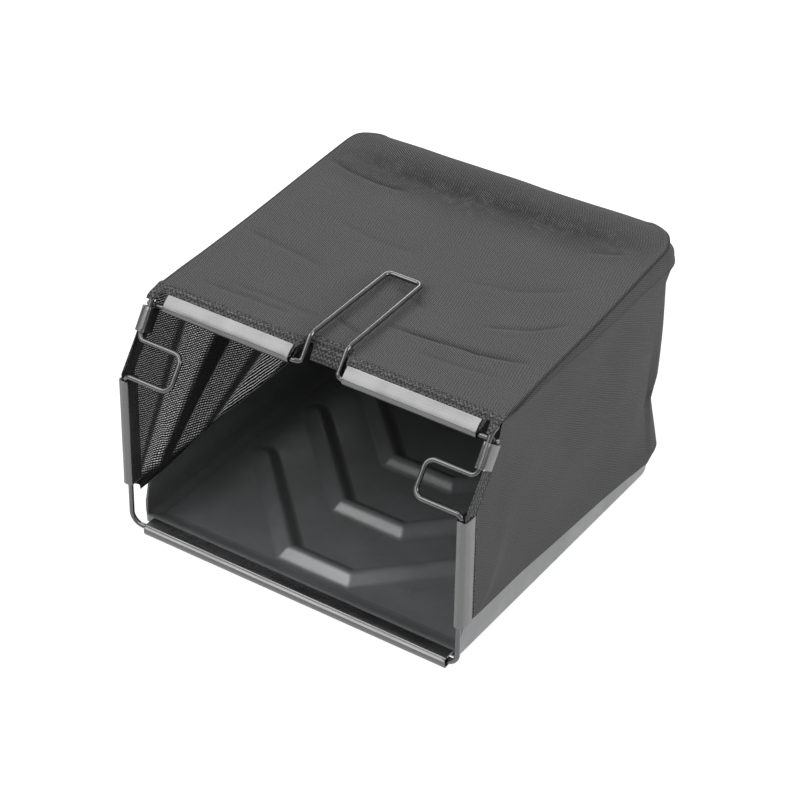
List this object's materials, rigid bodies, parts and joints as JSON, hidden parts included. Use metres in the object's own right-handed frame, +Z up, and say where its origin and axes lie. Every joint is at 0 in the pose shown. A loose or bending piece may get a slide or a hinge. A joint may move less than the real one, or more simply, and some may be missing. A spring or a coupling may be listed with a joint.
{
  "type": "scarifier collection bag",
  "caption": "Wire-framed debris bag for a scarifier: black mesh hood clipped over a ribbed moulded tray, open mouth, hanger loops and a folded-back wire grip.",
  "frame": {"origin": "centre of the bounding box in X and Y, at the underside of the tray", "axes": "+Z up, +Y from the open mouth towards the closed rear, +X to the right when looking into the mouth"},
  "size_m": [0.383, 0.3808, 0.2629],
  "materials": {
    "wire": "gloss",
    "channel": "satin",
    "tray": "satin",
    "mesh": "matte",
    "tape": "matte"
  },
  "bodies": {
    "root": {"frame_wire": "wire", "top_rod": "wire", "weld_bead_right": "wire", "weld_bead_left": "wire", "side_channel_right": "channel", "side_channel_left": "channel", "upper_channel_right": "channel", "upper_channel_left": "channel", "top_channel_right": "channel", "top_channel_left": "channel", "bottom_channel": "channel", "tray": "tray", "side_panel_right": "mesh", "side_panel_left": "mesh", "rear_panel": "mesh", "roof_panel": "mesh", "lower_tape_right": "tape", "lower_tape_left": "tape", "lower_tape_rear": "tape", "seam_tape_right": "tape", "seam_tape_left": "tape", "seam_tape_rear": "tape", "corner_tape_right": "tape", "corner_tape_left": "tape", "front_hem_right": "tape", "front_hem_left": "tape", "roof_hem": "tape"}
  },
  "joints": []
}
